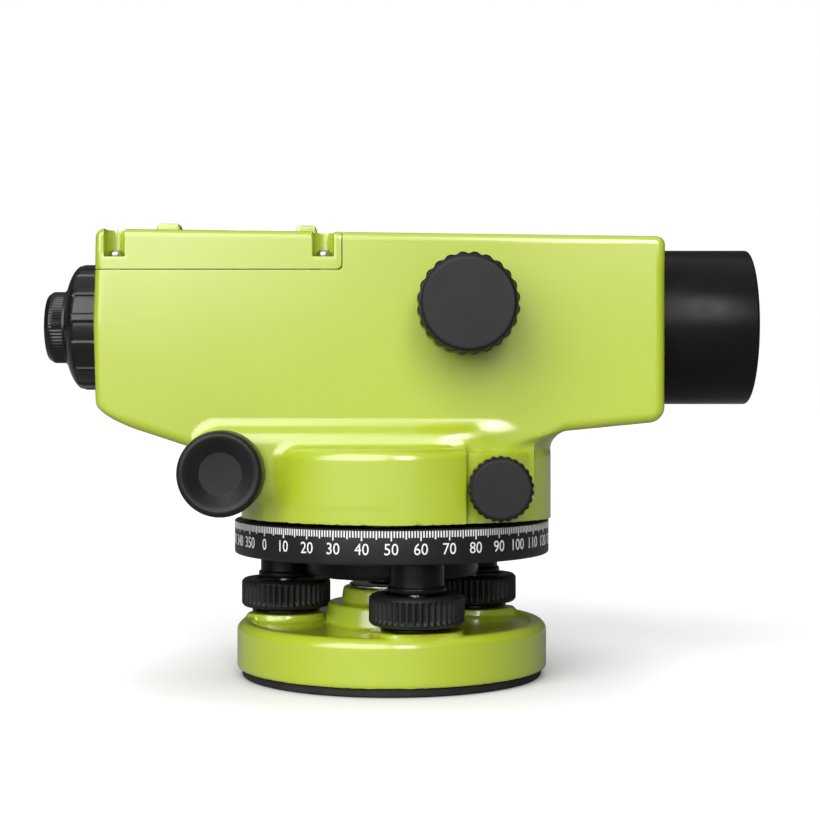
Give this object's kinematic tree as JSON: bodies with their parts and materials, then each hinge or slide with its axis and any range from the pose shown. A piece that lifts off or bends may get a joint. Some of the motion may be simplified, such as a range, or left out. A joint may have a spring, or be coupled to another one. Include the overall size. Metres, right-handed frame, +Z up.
{
  "type": "automatic level",
  "caption": "Automatic surveying level: lime cast telescope housing on a graduated circle and a three-screw levelling base, with focus, drive and clamp knobs.",
  "frame": {"origin": "centre of the footprint of the bounding box, on the underside of the base", "axes": "+X along the telescope towards the objective, +Z up, -Y towards the side with the focus knob; the vertical axis stands at x = -1.95 mm"},
  "size_m": [0.2296, 0.114, 0.148],
  "materials": {
    "housing_paint": "glossy lime enamel over a cast housing",
    "knob_plastic": "fine moulded black",
    "black_metal": "black anodised, satin",
    "steel": "turned",
    "brass": "machined",
    "glass": "coated optical glass",
    "mirror": "silvered",
    "foot_rubber": "thin black seat"
  },
  "bodies": {
    "base": {"base_underplate": "foot_rubber", "base_plate": "housing_paint", "tripod_bush": "steel", "ball_cap_1": "black_metal", "ball_cap_2": "black_metal", "ball_cap_3": "black_metal"},
    "head": {"levelling_head": "black_metal", "neck_sleeve_1": "knob_plastic", "neck_sleeve_2": "knob_plastic", "neck_sleeve_3": "knob_plastic", "vertical_spindle": "steel", "worm_wheel": "brass"},
    "foot_screw_1": {"foot_spindle_1": "steel"},
    "foot_grip_1": {"foot_knob_1": "knob_plastic"},
    "foot_screw_2": {"foot_knob_2": "knob_plastic", "foot_spindle_2": "steel"},
    "foot_screw_3": {"foot_knob_3": "knob_plastic", "foot_spindle_3": "steel"},
    "circle": {"horizontal_circle": "knob_plastic"},
    "alidade": {"housing": "housing_paint", "top_cover": "housing_paint", "cover_screw_1": "steel", "cover_screw_2": "steel", "cover_screw_3": "steel", "cover_screw_4": "steel", "bearing_plate": "brass", "objective_barrel": "black_metal", "objective_lens": "glass", "objective_retainer": "black_metal", "focus_guide": "black_metal", "focus_bush": "brass", "clamp_collar": "steel", "eyepiece_collar": "knob_plastic", "eyepiece_tube": "black_metal", "reticle_mount": "brass", "reticle": "glass", "compensator_frame": "brass", "fixed_prism": "glass", "suspension_flexure": "steel", "level_bracket": "housing_paint", "bubble_cup": "black_metal", "bubble_vial": "glass"},
    "focus_drive": {"focus_knob": "knob_plastic", "focus_shaft": "steel"},
    "focus_carriage": {"focus_cell": "brass", "focusing_lens": "glass", "focus_rack": "brass"},
    "azimuth_drive": {"drive_shaft": "steel", "drive_knob_near": "knob_plastic", "drive_knob_far": "knob_plastic"},
    "clamp": {"clamp_knob": "knob_plastic", "clamp_screw": "steel"},
    "clamp_jaw": {"clamp_nut": "brass"},
    "eye_carriage": {"eye_lens_cell": "black_metal", "eye_lens": "glass"},
    "dioptre": {"dioptre_ring": "knob_plastic"},
    "compensator": {"pendulum": "steel", "pendulum_prism": "glass"},
    "folding_mirror": {"mirror_frame": "knob_plastic", "mirror_glass": "mirror"}
  },
  "joints": [
    {"name": "head_tilt", "type": "hinge", "parent": "base", "child": "head", "pos_m": [-0.00601, 0.01831, 0.0163], "axis": [-0.9763, -0.2164, 0], "range_deg": [-1, 1]},
    {"name": "foot_lift_1", "type": "slide", "parent": "head", "child": "foot_screw_1", "axis": [0, 0, 1], "range_m": [-0.001, 0.001]},
    {"name": "foot_turn_1", "type": "hinge", "parent": "foot_screw_1", "child": "foot_grip_1", "pos_m": [0.00617, -0.03661, 0.025], "axis": [0, 0, 1], "range_deg": [-475, 475]},
    {"name": "foot_turn_2", "type": "hinge", "parent": "head", "child": "foot_screw_2", "pos_m": [0.0257, 0.02533, 0.025], "axis": [0, 0, 1], "range_deg": [-475, 475]},
    {"name": "foot_turn_3", "type": "hinge", "parent": "head", "child": "foot_screw_3", "pos_m": [-0.03771, 0.01128, 0.025], "axis": [0, 0, 1], "range_deg": [-475, 475]},
    {"name": "circle_turn", "type": "hinge", "parent": "head", "child": "circle", "pos_m": [-0.00195, 0, 0.046], "axis": [0, 0, 1], "continuous": true},
    {"name": "azimuth_turn", "type": "hinge", "parent": "head", "child": "alidade", "pos_m": [-0.00195, 0, 0.055], "axis": [0, 0, 1], "continuous": true},
    {"name": "focus_turn", "type": "hinge", "parent": "alidade", "child": "focus_drive", "pos_m": [0.02165, -0.04, 0.1194], "axis": [0, 1, 0], "range_deg": [-100, 100]},
    {"name": "focus_slide", "type": "slide", "parent": "alidade", "child": "focus_carriage", "axis": [1, 0, 0], "range_m": [-0.00785, 0.00785]},
    {"name": "drive_turn", "type": "hinge", "parent": "alidade", "child": "azimuth_drive", "pos_m": [0.03165, 0, 0.0633], "axis": [0, 1, 0], "continuous": true},
    {"name": "clamp_turn", "type": "hinge", "parent": "alidade", "child": "clamp", "pos_m": [-0.05395, -0.04, 0.0677], "axis": [0, -1, 0], "range_deg": [0, 270]},
    {"name": "clamp_slide", "type": "slide", "parent": "alidade", "child": "clamp_jaw", "axis": [0, 1, 0], "range_m": [0, 0.0006005]},
    {"name": "eye_slide", "type": "slide", "parent": "alidade", "child": "eye_carriage", "axis": [-1, 0, 0], "range_m": [-0.0015, 0.0015]},
    {"name": "dioptre_turn", "type": "hinge", "parent": "eye_carriage", "child": "dioptre", "pos_m": [-0.10695, 0, 0.114], "axis": [-1, 0, 0], "range_deg": [-120, 120]},
    {"name": "compensator_swing", "type": "hinge", "parent": "alidade", "child": "compensator", "pos_m": [-0.03795, 0, 0.1297], "axis": [0, 1, 0], "range_deg": [-1, 1]},
    {"name": "mirror_fold", "type": "hinge", "parent": "alidade", "child": "folding_mirror", "pos_m": [-0.05695, 0.0375, 0.131], "axis": [1, 0, 0], "range_deg": [-47, 60]}
  ],
  "couplings": [
    {"joint": "foot_lift_1", "follows": "head_tilt", "m_per_rad": -0.05625},
    {"joint": "foot_turn_1", "follows": "head_tilt", "ratio": -471.24},
    {"joint": "focus_turn", "follows": "focus_slide", "rad_per_m": -222.22},
    {"joint": "clamp_slide", "follows": "clamp_turn", "m_per_rad": 0.00012732},
    {"joint": "eye_slide", "follows": "dioptre_turn", "m_per_rad": 0.0007162}
  ]
}
